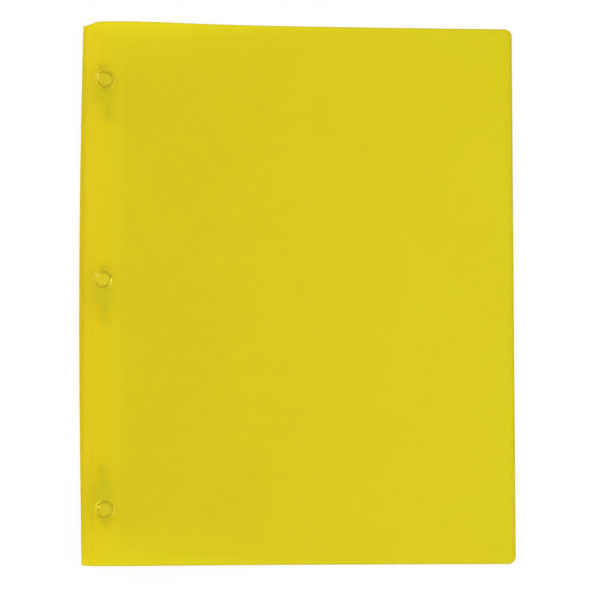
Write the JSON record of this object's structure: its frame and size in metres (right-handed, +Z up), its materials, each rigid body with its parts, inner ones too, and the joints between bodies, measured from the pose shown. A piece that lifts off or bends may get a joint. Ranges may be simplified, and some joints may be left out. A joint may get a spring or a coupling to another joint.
{
  "type": "prong fastener folder",
  "caption": "Closed translucent plastic report cover with a creased spine, a scored binding margin and folded metal prong fasteners that hold punched sheets.",
  "frame": {"origin": "middle of the footprint, on the table under the closed folder", "axes": "+X from the spine to the fore edge, +Y up the page along the spine, +Z up from the back cover to the front cover"},
  "size_m": [0.234, 0.292, 0.0104],
  "materials": {
    "cover_poly": "satin translucent yellow polypropylene",
    "strip_poly": "satin translucent yellow polypropylene",
    "prong_steel": "tinned sheet steel"
  },
  "bodies": {
    "back_cover": {"back_cover": "cover_poly", "rear_crease": "cover_poly"},
    "spine": {"spine_panel": "cover_poly"},
    "binding_margin": {"front_crease": "cover_poly", "binding_margin": "cover_poly", "score_hinge": "cover_poly", "binding_strip": "strip_poly", "top_fastener_base": "prong_steel", "middle_fastener_base": "prong_steel", "bottom_fastener_base": "prong_steel"},
    "front_cover": {"front_cover": "cover_poly"},
    "top_upper_leg": {"top_upper_leg": "prong_steel"},
    "top_lower_leg": {"top_lower_leg": "prong_steel"},
    "middle_upper_leg": {"middle_upper_leg": "prong_steel"},
    "middle_lower_leg": {"middle_lower_leg": "prong_steel"},
    "bottom_upper_leg": {"bottom_upper_leg": "prong_steel"},
    "bottom_lower_leg": {"bottom_lower_leg": "prong_steel"}
  },
  "joints": [
    {"name": "rear_crease", "type": "hinge", "parent": "back_cover", "child": "spine", "pos_m": [-0.11675, 0, 0.00025], "axis": [0, -1, 0], "range_deg": [0, 124]},
    {"name": "front_crease", "type": "hinge", "parent": "spine", "child": "binding_margin", "pos_m": [-0.11032, 0, 0.00978], "axis": [0, -1, 0], "range_deg": [0, 56]},
    {"name": "score", "type": "hinge", "parent": "binding_margin", "child": "front_cover", "pos_m": [-0.09302, 0, 0.01003], "axis": [0, -1, 0], "range_deg": [0, 170]},
    {"name": "top_upper_leg_bend", "type": "hinge", "parent": "binding_margin", "child": "top_upper_leg", "pos_m": [-0.10473, 0.1071, 0.00847], "axis": [-0.9925, -0.1219, 0], "range_deg": [0, 90]},
    {"name": "top_lower_leg_bend", "type": "hinge", "parent": "binding_margin", "child": "top_lower_leg", "pos_m": [-0.10467, 0.1066, 0.00847], "axis": [0.9925, 0.1219, 0], "range_deg": [0, 90]},
    {"name": "middle_upper_leg_bend", "type": "hinge", "parent": "binding_margin", "child": "middle_upper_leg", "pos_m": [-0.10469, -0.00085, 0.00847], "axis": [-0.9994, 0.0349, 0], "range_deg": [0, 90]},
    {"name": "middle_lower_leg_bend", "type": "hinge", "parent": "binding_margin", "child": "middle_lower_leg", "pos_m": [-0.10471, -0.00135, 0.00847], "axis": [0.9994, -0.0349, 0], "range_deg": [0, 90]},
    {"name": "bottom_upper_leg_bend", "type": "hinge", "parent": "binding_margin", "child": "bottom_upper_leg", "pos_m": [-0.10472, -0.1088, 0.00847], "axis": [-0.9969, -0.0785, 0], "range_deg": [0, 90]},
    {"name": "bottom_lower_leg_bend", "type": "hinge", "parent": "binding_margin", "child": "bottom_lower_leg", "pos_m": [-0.10468, -0.1093, 0.00847], "axis": [0.9969, 0.0785, 0], "range_deg": [0, 90]}
  ],
  "couplings": [
    {"joint": "top_upper_leg_bend", "follows": "rear_crease", "ratio": 0.72581},
    {"joint": "top_lower_leg_bend", "follows": "rear_crease", "ratio": 0.72581},
    {"joint": "middle_upper_leg_bend", "follows": "rear_crease", "ratio": 0.72581},
    {"joint": "middle_lower_leg_bend", "follows": "rear_crease", "ratio": 0.72581},
    {"joint": "bottom_upper_leg_bend", "follows": "rear_crease", "ratio": 0.72581},
    {"joint": "bottom_lower_leg_bend", "follows": "rear_crease", "ratio": 0.72581}
  ]
}
